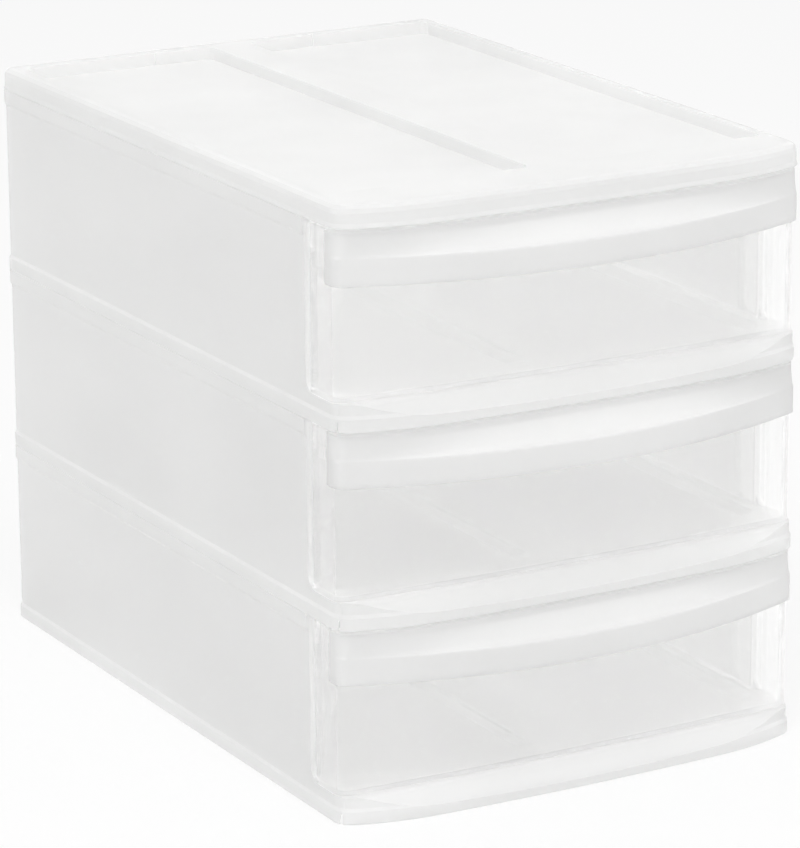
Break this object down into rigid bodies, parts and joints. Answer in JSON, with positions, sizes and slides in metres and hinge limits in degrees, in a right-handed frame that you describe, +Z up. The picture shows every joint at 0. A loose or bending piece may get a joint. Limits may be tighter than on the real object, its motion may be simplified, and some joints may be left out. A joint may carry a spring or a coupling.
{
  "type": "stackable drawer box",
  "caption": "Stack of keyed open-fronted boxes with clear bowed drawers, flared milky grips and a loose lid with sunk panels, for crafts and small parts.",
  "frame": {"origin": "centre of the boxes' footprint, on the surface that the stack stands on; the grips stand out in front of that footprint", "axes": "+X to the right seen from the front, +Y from the front to the back, +Z up; the drawers open towards -Y"},
  "size_m": [0.245, 0.369, 0.287],
  "materials": {
    "milky_plastic": "milky translucent polypropylene, fine satin",
    "clear_plastic": "clear polystyrene, glossy",
    "frosted_plastic": "milky translucent polypropylene, smooth satin"
  },
  "bodies": {
    "lower_box": {"lower_casing": "milky_plastic"},
    "lower_drawer": {"lower_drawer": "clear_plastic", "lower_grip": "frosted_plastic"},
    "middle_box": {"middle_casing": "milky_plastic"},
    "middle_drawer": {"middle_drawer": "clear_plastic", "middle_grip": "frosted_plastic"},
    "upper_box": {"upper_casing": "milky_plastic"},
    "upper_drawer": {"upper_drawer": "clear_plastic", "upper_grip": "frosted_plastic"},
    "lid": {"lid": "milky_plastic"}
  },
  "joints": [
    {"name": "lower_drawer_slide", "type": "slide", "parent": "lower_box", "child": "lower_drawer", "axis": [0, -1, 0], "range_m": [0, 0.29]},
    {"name": "middle_drawer_slide", "type": "slide", "parent": "middle_box", "child": "middle_drawer", "axis": [0, -1, 0], "range_m": [0, 0.29]},
    {"name": "middle_box_lift", "type": "slide", "parent": "lower_box", "child": "middle_box", "axis": [0, 0, 1], "range_m": [0, 0.05]},
    {"name": "upper_drawer_slide", "type": "slide", "parent": "upper_box", "child": "upper_drawer", "axis": [0, -1, 0], "range_m": [0, 0.29]},
    {"name": "upper_box_lift", "type": "slide", "parent": "middle_box", "child": "upper_box", "axis": [0, 0, 1], "range_m": [0, 0.05]},
    {"name": "lid_lift", "type": "slide", "parent": "upper_box", "child": "lid", "axis": [0, 0, 1], "range_m": [0, 0.05]}
  ]
}
